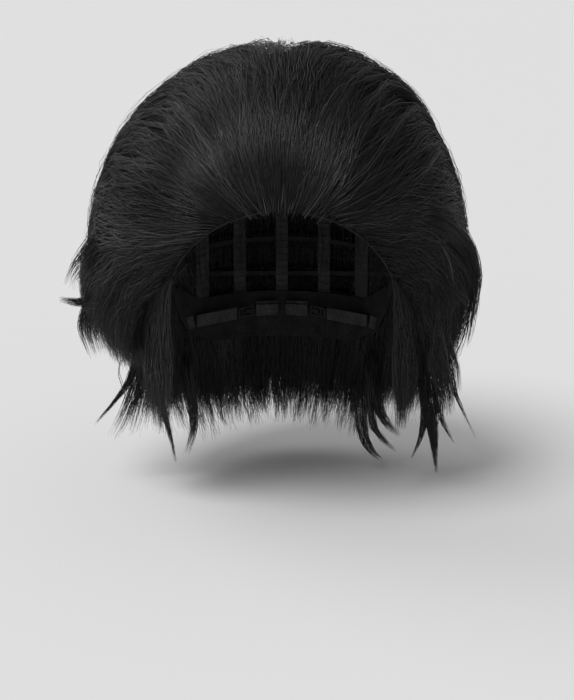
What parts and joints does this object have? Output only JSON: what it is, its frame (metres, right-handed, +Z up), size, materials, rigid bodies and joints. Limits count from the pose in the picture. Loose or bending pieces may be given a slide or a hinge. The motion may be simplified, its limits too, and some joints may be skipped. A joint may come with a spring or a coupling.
{
  "type": "costume wig",
  "caption": "Short dark swept-back costume wig: wefted stretch cap with ear tabs and nape adjusters, under voluminous hair with flipped ends.",
  "frame": {"origin": "middle of the wearer's head at brow height, inside the cap", "axes": "+Z up toward the crown, -Y toward the face, +X toward the wearer's left"},
  "size_m": [0.2597, 0.2311, 0.2793],
  "materials": {
    "hair": "satin",
    "cap_net": "matte",
    "cap_tape": "matte",
    "elastic": "matte",
    "weft_thread": "matte",
    "plastic": "satin"
  },
  "bodies": {
    "cap": {"centre_rib": "elastic", "crown_net": "cap_net", "front_band": "cap_tape", "hair_back_lower": "hair", "hair_back_middle": "hair", "hair_back_upper": "hair", "hair_crown": "hair", "hair_front_roll": "hair", "hair_left_cheek_tuft": "hair", "hair_left_jaw_tuft": "hair", "hair_left_side_lower": "hair", "hair_left_side_upper": "hair", "hair_nape": "hair", "hair_right_cheek_tuft": "hair", "hair_right_flip": "hair", "hair_right_jaw_tuft": "hair", "hair_right_side_lower": "hair", "hair_right_side_upper": "hair", "left_ear_binding": "cap_tape", "left_inner_rib": "elastic", "left_looped_tape": "elastic", "left_outer_rib": "elastic", "left_strap_anchor": "elastic", "nape_band": "cap_tape", "right_ear_binding": "cap_tape", "right_inner_rib": "elastic", "right_looped_tape": "elastic", "right_outer_rib": "elastic", "right_strap_anchor": "elastic", "weft_header_01": "weft_thread", "weft_header_02": "weft_thread", "weft_header_03": "weft_thread", "weft_header_04": "weft_thread", "weft_header_05": "weft_thread", "weft_header_06": "weft_thread", "weft_header_07": "weft_thread", "weft_header_08": "weft_thread", "weft_header_09": "weft_thread", "weft_header_10": "weft_thread", "weft_header_11": "weft_thread", "weft_header_12": "weft_thread", "weft_header_hairline": "weft_thread", "weft_header_nape": "weft_thread"},
    "right_tab": {"right_ear_tab": "cap_tape", "right_ear_stay": "plastic"},
    "right_strap": {"right_adjuster_strap": "elastic"},
    "right_hook": {"right_adjuster_hook": "plastic"},
    "left_tab": {"left_ear_tab": "cap_tape", "left_ear_stay": "plastic"},
    "left_strap": {"left_adjuster_strap": "elastic"},
    "left_hook": {"left_adjuster_hook": "plastic"}
  },
  "joints": [
    {"name": "right_tab_fold", "type": "hinge", "parent": "cap", "child": "right_tab", "pos_m": [-0.07094, -0.027, -0.0032], "axis": [0.2301, -0.9732, 0], "range_deg": [0, 35]},
    {"name": "right_strap_swing", "type": "hinge", "parent": "cap", "child": "right_strap", "pos_m": [-0.0553, 0.051, -0.042], "axis": [0, 0, -1], "range_deg": [0, 70]},
    {"name": "right_hook_pivot", "type": "hinge", "parent": "right_strap", "child": "right_hook", "pos_m": [-0.03, 0.0715, -0.042], "axis": [0, 0, -1], "range_deg": [-10, 75]},
    {"name": "left_tab_fold", "type": "hinge", "parent": "cap", "child": "left_tab", "pos_m": [0.07094, -0.027, -0.0032], "axis": [0.2301, 0.9732, 0], "range_deg": [0, 35]},
    {"name": "left_strap_swing", "type": "hinge", "parent": "cap", "child": "left_strap", "pos_m": [0.0553, 0.051, -0.042], "axis": [0, 0, 1], "range_deg": [0, 70]},
    {"name": "left_hook_pivot", "type": "hinge", "parent": "left_strap", "child": "left_hook", "pos_m": [0.03, 0.0715, -0.042], "axis": [0, 0, 1], "range_deg": [-10, 75]}
  ]
}
